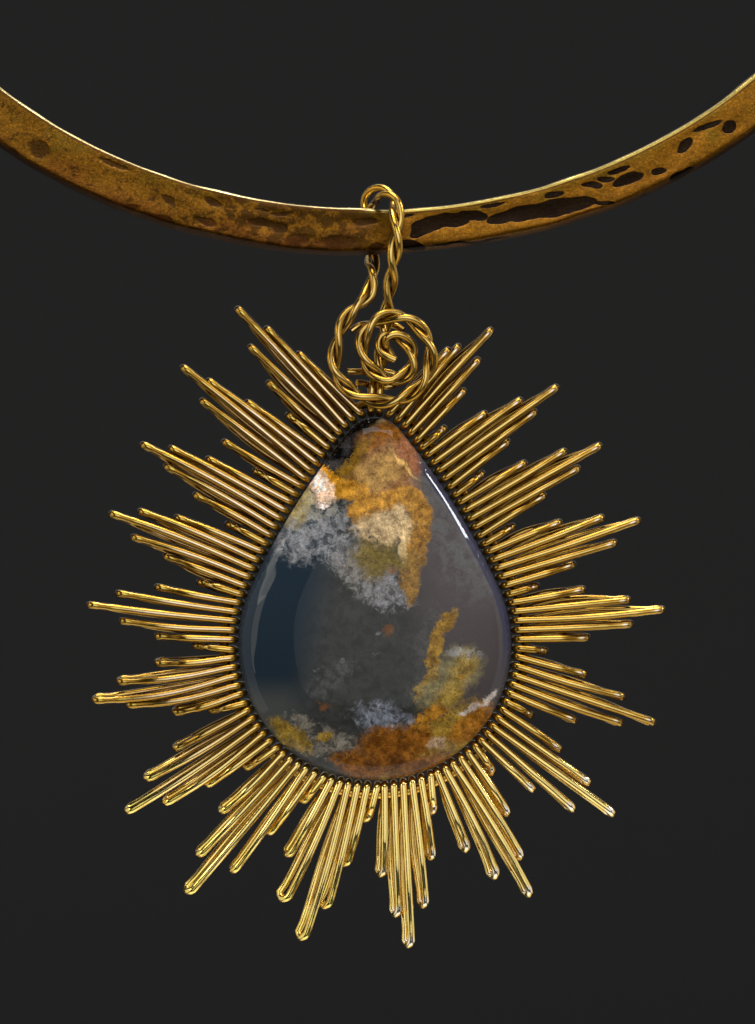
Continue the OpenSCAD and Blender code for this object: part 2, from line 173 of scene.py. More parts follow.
# Patches of the agate, laid over each other in this order: colour, how soft its edge is, how strongly it
# covers, the texture that breaks it up, and its ellipses [right, up, half length, half width, turn]
AGATE_PATCHES = [
    # Blue-grey mist across the shoulder and down to the middle
    ((0.36, 0.36, 0.37), 0.75, 0.75, "wisps", [
        [-6.6, 12.4, 4.0, 2.6, -8], [-3.6, 10.6, 2.6, 1.9, -25], [-8.4, 10.8, 2.0, 1.5, 0],
    ]),
    ((0.29, 0.27, 0.25), 0.8, 0.85, "wisps", [[-1.6, 7.8, 2.6, 1.7, -38], [0.4, 6.2, 2.4, 1.5, -20]]),
    ((0.28, 0.28, 0.30), 0.8, 0.9, "wisps", [[1.4, 5.6, 2.2, 1.5, -15], [2.6, 6.2, 1.3, 1.2, 0]]),
    ((0.35, 0.32, 0.23), 0.8, 0.6, "wisps", [[-7.0, 15.0, 2.4, 1.2, 0]]),
    # Black cap at the upper left with its crystal fringe
    ((0.004, 0.004, 0.004), 0.3, 1.0, "", [[-4.1, 21.5, 3.2, 1.5, 47], [-1.4, 24.1, 2.6, 1.35, 33]]),
    ((0.35, 0.25, 0.12), 0.5, 0.9, "cloud", [[1.4, 24.3, 0.9, 0.5, 0]]),
    ((0.11, 0.10, 0.10), 0.8, 0.4, "grit", [[-4.4, 20.0, 1.2, 0.6, 20], [-2.6, 22.3, 1.2, 0.4, 50]]),
    # Tan and rust of the tip
    ((0.28, 0.13, 0.045), 0.35, 1.0, "", [
        [1.4, 20.6, 3.6, 2.9, -45], [-0.6, 18.6, 3.4, 1.9, 40], [0.9, 17.6, 3.8, 2.0, -12],
        [1.5, 23.0, 1.3, 1.2, 0],
    ]),
    ((0.42, 0.25, 0.06), 0.9, 0.7, "cloud", [[-1.2, 18.3, 2.0, 1.2, -40], [0.8, 19.2, 1.8, 1.5, 0]]),
    ((0.33, 0.13, 0.06), 0.4, 0.9, "grit", [[3.6, 21.0, 2.3, 0.85, -56]]),
    ((0.28, 0.10, 0.01), 0.6, 0.95, "grit", [[0.3, 22.9, 2.4, 0.7, 42], [1.9, 23.4, 1.0, 0.9, 0]]),
    ((0.23, 0.12, 0.01), 0.6, 0.95, "grit", [[-2.4, 20.3, 2.8, 0.62, 52], [-4.1, 17.7, 1.3, 0.75, 75]]),
    ((0.72, 0.44, 0.13), 0.6, 0.8, "", [[3.0, 19.9, 2.1, 0.27, -46]]),
    # Ochre belt and the hook at its right end
    ((0.58, 0.27, 0.025), 0.6, 0.95, "cloud", [
        [-2.3, 16.6, 2.6, 1.1, -12], [-1.4, 15.0, 1.3, 1.3, 0], [0.8, 15.5, 2.8, 0.95, 5],
        [2.8, 16.1, 1.6, 0.9, 15],
    ]),
    ((0.35, 0.17, 0.025), 0.5, 1.0, "fuzz", [
        [4.1, 16.1, 1.3, 0.9, -35], [4.9, 14.4, 1.5, 1.15, -78], [4.8, 12.5, 1.5, 1.2, 88],
        [4.4, 10.6, 1.5, 1.05, 82],
    ]),
    ((0.28, 0.15, 0.03), 0.55, 1.0, "fuzz", [
        [4.1, 8.8, 1.5, 1.0, 80], [3.9, 7.0, 1.4, 0.8, 88], [3.8, 5.6, 1.0, 0.55, 85],
    ]),
    # Cream and mustard inside the hook
    ((0.20, 0.14, 0.025), 0.8, 0.95, "cloud", [[0.2, 9.7, 2.1, 1.9, 0], [1.8, 9.2, 1.5, 1.0, 0]]),
    ((0.60, 0.42, 0.21), 0.55, 0.95, "cloud", [[0.9, 12.9, 2.6, 1.45, 3], [2.5, 13.2, 1.2, 1.7, 10]]),
    ((0.95, 0.67, 0.30), 0.6, 0.7, "", [[3.0, 11.6, 0.5, 2.2, 4]]),
    ((0.33, 0.17, 0.11), 0.6, 0.8, "", [[2.0, 8.1, 0.5, 0.4, 0]]),
    # White crystal at the upper left, bordered in orange
    ((0.70, 0.32, 0.02), 0.3, 1.0, "grit", [
        [-7.5, 18.4, 1.8, 0.6, 60], [-5.0, 18.9, 1.4, 0.55, -38], [-4.6, 17.4, 1.1, 0.5, 85],
    ]),
    ((0.45, 0.28, 0.025), 0.35, 0.95, "grit", [[-8.9, 16.2, 1.4, 0.6, 62]]),
    ((0.52, 0.42, 0.26), 0.5, 0.7, "cloud", [[-7.1, 16.2, 1.5, 0.6, -10]]),
    ((0.40, 0.32, 0.13), 0.7, 0.9, "cloud", [[-8.5, 15.1, 1.8, 1.0, 62]]),
    ((0.95, 0.66, 0.45), 0.4, 1.0, "cloud", [[-6.0, 17.5, 1.9, 1.15, -58]]),
    ((0.95, 0.95, 0.90), 0.3, 1.0, "facets", [[-6.5, 18.0, 1.45, 0.75, -60]]),
    ((0.85, 0.70, 0.64), 0.3, 1.0, "", [[-5.6, 15.2, 0.5, 0.2, -5]]),
    # Specks in the smoky middle
    ((0.26, 0.10, 0.03), 1.2, 0.6, "fuzz", [[1.5, 1.5, 0.5, 0.6, 0]]),
    ((0.26, 0.10, 0.03), 1.0, 0.6, "fuzz", [[-5.7, -6.6, 0.45, 0.35, 0]]),
    ((0.26, 0.27, 0.28), 1.2, 0.6, "wisps", [
        [0.45, 1.1, 0.16, 0.14, 0], [1.75, 2.5, 0.13, 0.13, 0], [0.3, -0.8, 0.42, 0.09, -12],
        [-3.6, -1.8, 0.35, 0.25, 40], [-1.9, -2.6, 0.4, 0.2, 0], [-6.1, -3.1, 0.35, 0.15, 15],
    ]),
    ((0.14, 0.14, 0.14), 0.9, 0.45, "wisps", [[-5.4, -4.3, 2.4, 0.8, 38], [-3.3, -2.7, 1.6, 0.7, 12]]),
    # Mustard streak down the right side, and the mottled patch beside it
    ((0.09, 0.09, 0.09), 0.9, 0.5, "fuzz", [[5.6, 0.4, 3.2, 0.7, 76], [4.6, -4.4, 1.8, 0.6, 60]]),
    ((0.33, 0.18, 0.02), 0.55, 0.95, "fuzz", [
        [7.8, 2.2, 1.5, 0.7, 52], [6.7, 0.2, 1.7, 0.68, 76], [6.3, -1.9, 1.6, 0.62, 84],
        [5.5, -4.2, 1.7, 0.5, 62],
    ]),
    ((0.29, 0.24, 0.10), 0.7, 0.8, "cloud", [[7.4, -4.6, 2.6, 1.7, 40], [9.2, -2.8, 2.3, 1.9, 55]]),
    ((0.37, 0.23, 0.035), 0.8, 0.85, "fuzz", [[9.4, -3.0, 2.0, 1.0, 62], [8.2, -5.4, 1.5, 0.9, 40]]),
    ((0.38, 0.38, 0.38), 0.7, 0.6, "wisps", [[9.9, -0.9, 1.6, 0.5, -8]]),
    ((0.045, 0.03, 0.02), 0.5, 0.6, "specks", [[9.3, -3.4, 2.2, 1.4, 60]]),
    ((0.66, 0.32, 0.03), 0.6, 0.9, "", [[9.5, -3.8, 0.3, 0.2, 0]]),
    # Pale cloud, mustard and mist along the bottom
    ((0.26, 0.28, 0.34), 0.8, 0.8, "wisps", [[0.6, -7.9, 2.9, 1.3, -8], [2.6, -8.8, 1.5, 0.8, 0]]),
    ((0.61, 0.58, 0.58), 0.7, 0.7, "wisps", [[2.8, -9.0, 1.1, 0.4, 5]]),
    ((0.26, 0.23, 0.18), 0.6, 0.85, "wisps", [[-5.2, -10.8, 3.6, 1.5, -12], [-8.0, -8.8, 1.8, 0.8, -30]]),
    ((0.35, 0.22, 0.03), 0.7, 0.95, "fuzz", [[-9.3, -10.1, 2.2, 0.85, -40], [-5.4, -10.2, 0.9, 0.4, 10]]),
    # Rust of the bottom
    ((0.33, 0.20, 0.03), 0.5, 1.0, "fuzz", [[7.6, -10.6, 4.6, 2.3, 38], [4.6, -12.4, 4.2, 2.4, 15]]),
    ((0.25, 0.09, 0.01), 0.5, 1.0, "fuzz", [
        [1.6, -11.6, 3.0, 2.1, 8], [-1.6, -13.2, 2.6, 1.3, -12], [4.4, -10.6, 1.8, 1.4, 30],
        [5.2, -13.6, 3.0, 1.2, 18],
    ]),
    ((0.35, 0.14, 0.015), 0.5, 1.0, "fuzz", [[10.5, -8.9, 2.4, 1.2, 42]]),
    ((0.40, 0.18, 0.02), 0.55, 1.0, "fuzz", [[6.5, -7.5, 1.15, 0.85, 20], [5.3, -8.6, 0.8, 0.8, 0]]),
    ((0.14, 0.05, 0.01), 0.8, 0.75, "grit", [[2.6, -12.9, 0.9, 0.5, 0], [-0.4, -13.1, 0.6, 0.5, 0]]),
    ((0.58, 0.40, 0.28), 0.6, 0.7, "cloud", [[6.9, -10.9, 0.9, 0.5, 20]]),
    ((0.13, 0.07, 0.01), 0.4, 0.8, "specks", [[8.0, -10.0, 4.4, 1.2, 42], [3.0, -14.4, 5.0, 0.8, 5]]),
    ((0.52, 0.44, 0.38), 0.5, 0.85, "", [[10.6, -7.1, 1.4, 0.28, 14], [12.6, -6.2, 1.2, 0.3, 48]]),
]


def in_mm(name, description, default, least, most):
    """A setting in millimetres."""
    words = description + ", in millimetres"
    return FloatProperty(name=name, description=words, default=default, min=least, max=most)


def shade(name, description, default):
    """A setting for a colour."""
    return FloatVectorProperty(name=name, description=description, subtype="COLOR", size=3, default=default)


class RingLook(PropertyGroup):
    strip_width: in_mm("Strip width", "Width of the hammered strip", 5.2, 4, 6)
    strip_thickness: in_mm("Strip thickness", "Thickness of the strip", 2 * HALF_THICKNESS, 1, 2)
    mark_depth: in_mm("Mark depth", "Depth of the hammer marks", 0.1, 0, 0.3)
    face_colour: shade("Face", "Brass of the strip's face", (0.070, 0.029, 0.0016))
    mark_colour: shade("Marks", "Dark brass in the hammer marks", (0.0032, 0.0013, 0.0002))


class WireLook(PropertyGroup):
    radius: in_mm("Wire radius", "Radius of the rays' and the bail's wire", 0.42, 0.3, 0.5)
    frame_radius: in_mm("Frame wire radius", "Radius of the wire inside the rays' bends", 0.48, 0.3, 0.6)
    unevenness: in_mm("Unevenness", "How far a hand-bent ray strays from straight", 0.12, 0, 0.4)
    seed: IntProperty(name="Seed", description="Start of the chance in the rays' bends", default=7, min=0)
    # Wire colours: brass of the lit front and its painted highlight, the rosy painted highlight of the upper
    # left rays, and the brown and dark brown of the painted shade
    bright_colour: shade("Brass", "Polished brass of the wires", (0.92, 0.66, 0.20))
    rosy_highlight_colour: shade("Rosy brass", "Paler, rosy brass of the upper left rays", (1.0, 0.80, 0.58))
    flank_shade_colour: shade("Brown brass", "Brass beside the polished line", (0.38, 0.195, 0.023))
    deep_shade_colour: shade("Tarnish", "Brass where the polish doesn't reach", (0.085, 0.041, 0.005))


class StoneLook(PropertyGroup):
    dome_front: in_mm("Front dome", "Height of the dome in front of the stone's middle plane", 4.6, 2, 6)
    dome_back: in_mm("Back dome", "Height of the dome behind the stone's middle plane", 2.4, 1, 4)
    gloss: FloatProperty(
        name="Refraction", description="Index of refraction of the polish; more mirrors more",
        default=1.29, min=1.1, max=1.6,
    )


class StageLook(PropertyGroup):
    floor_colour: shade("Floor", "Pale floor and backdrop", (0.62, 0.61, 0.59))
    camera_distance: FloatProperty(
        name="Camera distance", description="From the pendant to the camera",
        default=0.55, unit="LENGTH", min=0.3,
    )


# Making and shaping


def deselect():
    if bpy.context.object and bpy.context.object.mode != "OBJECT":
        bpy.ops.object.mode_set(mode="OBJECT")
    bpy.ops.object.select_all(action="DESELECT")


def named(name, material, body, slot, *nodes):
    """Names the active piece, smooths it, and says where it belongs."""
    piece = bpy.context.object
    piece.name = name
    piece.data.name = name
    bpy.ops.object.shade_smooth()
    piece.data.materials.clear()
    piece.data.materials.append(material)
    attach(piece, body)
    if nodes:
        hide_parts(*nodes)
    return piece


def on_pendant(point):
    """A place on the pendant, in metres in the frame."""
    right, forward, up = point
    return (PENDANT + Vector((right, -forward, up))) * MM


def tip_place(px, py):
    """[right, up] on the pendant of a place in the photograph, to a tenth of a millimetre."""
    right, up = px - PHOTO_BELLY[0], PHOTO_BELLY[1] - py
    return round(right / PHOTO_SCALE, 1), round(up / PHOTO_SCALE, 1)


def strip_place(px, py):
    """[along, outwards] on the strip's front face of a place in the photograph."""
    right = PENDANT.x + (px - PHOTO_BELLY[0]) / PHOTO_SCALE
    up = PENDANT.z + (PHOTO_BELLY[1] - py) / PHOTO_SCALE
    back = (up * math.cos(RING_TILT) - HALF_THICKNESS) / math.sin(RING_TILT)
    down = -back * math.cos(RING_TILT) - up * math.sin(RING_TILT)
    return Vector((RING_RADIUS * math.atan2(right, down), math.hypot(right, down) - RING_RADIUS))


def hammer_mark(px, py, length, width, turn):
    """A dent on the strip, [along, outwards, half length, half width, turn], in millimetres and degrees."""
    a = math.radians(turn)
    middle = strip_place(px, py)
    lengthways = strip_place(px + length * math.cos(a), py - length * math.sin(a)) - middle
    across = strip_place(px + width * math.sin(a), py + width * math.cos(a)) - middle
    return [*middle, lengthways.length, across.length, math.degrees(math.atan2(lengthways.y, lengthways.x))]


HAMMER_MARKS = [hammer_mark(*dent) for dent in DENT_PIXELS]


def pear_left(normal, off):
    """Point of the outline, off millimetres outside the stone, where its outward normal has that angle."""
    turned = (math.cos(normal), math.sin(normal))
    if normal < math.pi - TIP_TURN:
        middle, radius = (0, TIP_Z), TIP_R
    elif normal < math.pi - BELLY_TURN:
        middle, radius = (FLANK_X, FLANK_Z), FLANK_R
    else:
        middle, radius = (0, 0), BELLY_R
    return [m + (radius + off) * t for m, t in zip(middle, turned)]


TIP_RUN = (TIP_R + FRAME_OFF) * (math.pi / 2 - TIP_TURN)
FLANK_RUN = (FLANK_R + FRAME_OFF) * (TIP_TURN - BELLY_TURN)
HALF_RUN = TIP_RUN + FLANK_RUN + (BELLY_R + FRAME_OFF) * (math.pi / 2 + BELLY_TURN)


def frame_normal(run):
    """Angle of the outline's normal at a distance along the left half of the frame wire, from its top."""
    if run < TIP_RUN:
        return math.pi / 2 + run / (TIP_R + FRAME_OFF)
    if run < TIP_RUN + FLANK_RUN:
        return math.pi - TIP_TURN + (run - TIP_RUN) / (FLANK_R + FRAME_OFF)
    return math.pi - BELLY_TURN + (run - TIP_RUN - FLANK_RUN) / (BELLY_R + FRAME_OFF)


def frame_point(run):
    """[right, up] on the frame wire at a distance along it from the top, round the left side."""
    left = run <= HALF_RUN
    right, up = pear_left(frame_normal(run if left else 2 * HALF_RUN - run), FRAME_OFF)
    return (right if left else -right), up


def smooth_route(points, step):
    """A smooth curve through the points, with a place about every step millimetres."""
    points = [Vector(p) for p in points]
    route = []
    for i in range(len(points) - 1):
        a, b = points[max(i - 1, 0)], points[i]
        c, d = points[i + 1], points[min(i + 2, len(points) - 1)]
        count = max(1, math.ceil((c - b).length / step))
        for k in range(count):
            t = k / count
            bend, twist = 2 * a - 5 * b + 4 * c - d, 3 * b - a - 3 * c + d
            route.append(0.5 * (2 * b + (c - a) * t + bend * t**2 + twist * t**3))
    return route + [points[-1]]


def strand(route, phase, free_run):
    """Middle line of one of two wires that are twisted together from free_run on."""
    count = len(route)
    tangents = [(route[min(i + 1, count - 1)] - route[max(i - 1, 0)]).normalized() for i in range(count)]
    side = Vector((1, 0, 0))
    run = 0.0
    out = []
    for i, (place, tangent) in enumerate(zip(route, tangents)):
        side = (side - tangent * side.dot(tangent)).normalized()
        turn = phase + 2 * math.pi * max(0.0, run - free_run) / TWIST_PITCH
        apart = PAIR_OFF + 0.22 * eased(place.z, 47.6, 49.0)
        out.append(place + apart * (math.cos(turn) * side + math.sin(turn) * tangent.cross(side)))
        if i < count - 1:
            run += (route[i + 1] - place).length
    return out


def round_wire(routes, radius, resolution, closed=False):
    """One mesh of round wires along routes on the pendant, drawn as bevelled curves."""
    deselect()
    bpy.ops.curve.primitive_bezier_curve_add(location=(0, 0, 0))
    curve = bpy.context.object.data
    curve.splines.clear()
    curve.dimensions = "3D"
    curve.bevel_depth = radius * MM
    curve.bevel_resolution = resolution
    curve.use_fill_caps = not closed
    for route in routes:
        spline = curve.splines.new("POLY")
        spline.points.add(len(route) - 1)
        spline.use_cyclic_u = closed
        for point, place in zip(spline.points, route):
            point.co = (*on_pendant(place), 1)
    bpy.ops.object.convert(target="MESH")
    return bpy.context.object


def eased(value, low, high):
    """0 at low, 1 at high, and a soft step between."""
    t = min(max((value - low) / (high - low), 0.0), 1.0)
    return t * t * (3 - 2 * t)


FAR_FROM_TIP = 9.0


def paint_wire_shade(piece, tips=(), vertices_each=1, least=0.0):
    """Stores for each point its painted shade, from 0 lit to 1 dark and never below least, and how far a
    ray's tip is.
    """
    painted_shade, from_tip = [], []
    for number, vertex in enumerate(piece.data.vertices):
        place = vertex.co / MM - PENDANT
        # Painted shade on the sides of the wire as they turn away from the front, which leaves a painted
        # highlight along the front
        facing = vertex.normal.y
        side = math.acos(min(abs(facing), 1.0)) * 2 / math.pi
        inner, near_stone, run = 0.0, 0.0, FAR_FROM_TIP
        if tips:
            tip = Vector(tips[number // vertices_each])
            # Painted shade on the faces between a ray's two legs, and on the root bends next to the stone
            inner = 0.25 * eased(-facing * place.y, 0.0, 0.5)
            near_stone = 0.62 * eased(distance_outside(place.x, place.z), 1.25, 0.4)
            run = (tip - Vector((place.x, place.z))).length
        painted_shade.append(max(side, inner, near_stone, least))
        from_tip.append(run)
    for name, values in (("painted_shade", painted_shade), ("from_tip", from_tip)):
        layer = piece.data.attributes.new(name, "FLOAT", "POINT")
        layer.data.foreach_set("value", values)


def distance_outside(right, up):
    """Millimetres from the stone's outline to a place outside it."""
    right = abs(right)
    a = math.atan2(up - FLANK_Z, right + FLANK_X)
    if BELLY_TURN < a < TIP_TURN:
        return math.hypot(right + FLANK_X, up - FLANK_Z) - FLANK_R
    if a <= BELLY_TURN:
        return math.hypot(right, up) - BELLY_R
    return math.hypot(right, up - TIP_Z) - TIP_R


# Materials


class Value:
    """An output socket of a material's node. Arithmetic on it adds Math nodes."""

    def __init__(self, finish, socket):
        self.finish = finish
        self.socket = socket

    def __add__(self, other):
        return self.finish.math("ADD", self, other)

    __radd__ = __add__

    def __sub__(self, other):
        return self.finish.math("SUBTRACT", self, other)

    def __rsub__(self, other):
        return self.finish.math("SUBTRACT", other, self)

    def __mul__(self, other):
        return self.finish.math("MULTIPLY", self, other)

    __rmul__ = __mul__

    def __truediv__(self, other):
        return self.finish.math("DIVIDE", self, other)


class Finish:
    """A material under construction."""

    def __init__(self, name):
        self.material = bpy.data.materials.new(name)
        self.material.use_nodes = True
        self.tree = self.material.node_tree
        self.tree.nodes.clear()

    def node(self, kind, settings=None, sockets=None, output=0):
        made = self.tree.nodes.new(kind)
        for key, setting in (settings or {}).items():
            setattr(made, key, setting)
        for key, value in (sockets or {}).items():
            socket = made.inputs[key]
            if isinstance(value, Value):
                self.tree.links.new(value.socket, socket)
            elif socket.type == "RGBA" and len(value) == 3:
                socket.default_value = (*value, 1)
            else:
                socket.default_value = value
        return Value(self, made.outputs[output]) if made.outputs else None

    def math(self, operation, *values):
        return self.node("ShaderNodeMath", {"operation": operation}, dict(enumerate(values)))

    def most(self, a, b):
        return self.math("MAXIMUM", a, b)

    def millimetres(self, origin=(0, 0, 0)):
        """Object coordinates in millimetres from a place in the frame."""
        place = self.node("ShaderNodeTexCoord", output=3)
        scaled = self.node("ShaderNodeVectorMath", {"operation": "SCALE"}, {0: place, "Scale": 1 / MM})
        if tuple(origin) == (0, 0, 0):
            return scaled
        return self.node("ShaderNodeVectorMath", {"operation": "SUBTRACT"}, {0: scaled, 1: tuple(origin)})

    def parts(self, vector):
        split = self.node("ShaderNodeSeparateXYZ", None, {0: vector})
        return [Value(self, socket) for socket in split.socket.node.outputs]

    def vector(self, x, y, z):
        return self.node("ShaderNodeCombineXYZ", None, {0: x, 1: y, 2: z})

    def stored(self, name):
        """A number that the mesh holds for each of its points."""
        return self.node("ShaderNodeAttribute", {"attribute_name": name}, output=2)

    def noise(self, place, scale, detail, roughness, distortion=0.0, output=0):
        """A noise between 0 and 1. Output 1 gives three independent ones as a vector."""
        sockets = {"Vector": place, "Scale": scale, "Detail": detail, "Roughness": roughness}
        return self.node("ShaderNodeTexNoise", None, {**sockets, "Distortion": distortion}, output)

    def band(self, value, low, high):
        """0 below low, 1 above high, and a soft step between. Low may be above high."""
        return self.node(
            "ShaderNodeMapRange", {"interpolation_type": "SMOOTHSTEP"},
            {"Value": value, "From Min": low, "From Max": high, "To Min": 0.0, "To Max": 1.0},
        )

    def mixed(self, factor, a, b, blend="MIX"):
        return self.node(
            "ShaderNodeMix", {"data_type": "RGBA", "blend_type": blend}, {0: factor, 6: a, 7: b}, output=2
        )

    def mixed_number(self, factor, a, b):
        return self.node("ShaderNodeMix", {"data_type": "FLOAT"}, {0: factor, 2: a, 3: b})

    def inside(self, x, z, middle, radii, turn):
        """1 in the middle of an ellipse, 0 on its edge, and less outside."""
        angle = math.radians(turn)
        c, s = math.cos(angle), math.sin(angle)
        u = self.math("MULTIPLY_ADD", x, c / radii[0], z * (s / radii[0]))
        v = self.math("MULTIPLY_ADD", x, -s / radii[1], z * (c / radii[1]))
        u = u - (middle[0] * c + middle[1] * s) / radii[0]
        v = v - (middle[1] * c - middle[0] * s) / radii[1]
        return 1 - self.math("MULTIPLY_ADD", u, u, v * v)

    def surface(self, constants, **driven):
        """The Principled shader with its constant sockets set, and its varying sockets linked."""
        shader = self.node("ShaderNodeBsdfPrincipled", None, {**constants, **driven_names(driven)})
        self.node("ShaderNodeOutputMaterial", None, {0: shader})
        return self.material

    def bump(self, height, distance, strength):
        sockets = {"Height": height, "Distance": distance, "Strength": strength}
        return self.node("ShaderNodeBump", None, sockets)


def driven_names(driven):
    names = {"colour": "Base Color", "roughness": "Roughness", "normal": "Normal"}
    return {names[key]: value for key, value in driven.items()}


def wire_brass(name, look, polish, rosy_highlight_share=0.85):
    """Drawn brass wire with painted light: a painted highlight along its front, and golden brown, then
    dark brown painted shade on its sides, between its legs and near the stone.
    """
    finish = Finish(name)
    band, mixed, noise = finish.band, finish.mixed, finish.noise
    place = finish.millimetres(PENDANT)
    x, _, z = finish.parts(place)
    painted_shade = finish.stored("painted_shade")
    from_tip = finish.stored("from_tip")
    patchy = noise(place, 0.35, 3, 0.6)
    grain = noise(place, 4.0, 2, 0.6)
    left = band(x, 3.0, -3.0)
    # Painted shade in a band before each tip, where the leg bends back, and on the very end of the tip
    neck = band(from_tip, 1.1, 1.7) * band(from_tip, 3.4, 2.4)
    end = band(from_tip, 0.55, 0.25)
    # Painted shade level: the stored painted shade, with random patches of tone
    shade_level = painted_shade + 0.22 * (patchy - 0.5) + 0.12 * (grain - 0.5) + neck * (0.14 + 0.16 * left) + 0.6 * end
    # Painted light on the lower rays: less painted shade below the stone
    shade_level = shade_level - 0.36 * band(z, -9.0, -17.0)
    # Painted rosy highlight on the middle of the upper left rays, varied ray by ray
    rosy = band(z - x * 1.2, 4.0, 22.0) * band(x, 2.0, -4.0) * band(from_tip, 3.5, 6.5)
    low = band(z, -9.0, -17.0)
    turn = finish.math("ARCTAN2", z, x) * 14.0
    each = band(noise(finish.vector(turn, 0.0, 0.0), 1.0, 1, 0.5), 0.40, 0.60)
    # Paler, brighter painted highlight on the lower rays
    bright = mixed(low, tuple(look.bright_colour), (1.0, 0.77, 0.26))
    bright = mixed(rosy * rosy_highlight_share * (0.6 + 0.4 * each), bright, tuple(look.rosy_highlight_colour))
    # Painted white glint near the tips of the right rays, and a painted yellow-olive highlight near the tips
    # of the left rays
    glint = band(from_tip, 1.6, 1.0)
    bright = mixed(glint * (0.8 - 0.8 * left), bright, (0.98, 0.90, 0.78))
    bright = mixed(band(from_tip, 4.5, 2.5) * left * 0.7, bright, (0.88, 0.72, 0.14))
    # Brighter flank colour on the lower rays, painted light
    brown = mixed(low * 0.8, tuple(look.flank_shade_colour), (0.98, 0.66, 0.17))
    # Painted highlight colour where the painted shade is low, golden brown and then dark brown painted shade
    # as it grows; the shade is also rougher
    colour = mixed(band(shade_level, 0.04, 0.38), bright, brown)
    colour = mixed(band(shade_level, 0.45, 0.95), colour, tuple(look.deep_shade_colour))
    # Painted highlight lines along both flanks of the wire
    fine = band(shade_level, 0.60, 0.67) * band(shade_level, 0.80, 0.73)
    colour = mixed(fine * 0.55, colour, tuple(look.bright_colour))
    roughness = polish + 0.08 * grain + 0.24 * band(shade_level, 0.1, 0.8)
    waves = noise(place, 1.1, 2, 0.5)
    normal = finish.bump(waves + 0.15 * grain, 0.00003, 0.5)
    return finish.surface({"Metallic": 1.0}, colour=colour, roughness=roughness, normal=normal)


def strip_places(finish):
    """Distance along the strip from the front, and outwards from its middle, in millimetres."""
    x, y, z = finish.parts(finish.millimetres())
    down = y * -math.cos(RING_TILT) + z * -math.sin(RING_TILT)
    along = finish.math("ARCTAN2", x, down) * RING_RADIUS
    out = finish.math("SQRT", finish.math("MULTIPLY_ADD", x, x, down * down)) - RING_RADIUS
    depth = y * -math.sin(RING_TILT) + z * math.cos(RING_TILT)
    return along, out, depth


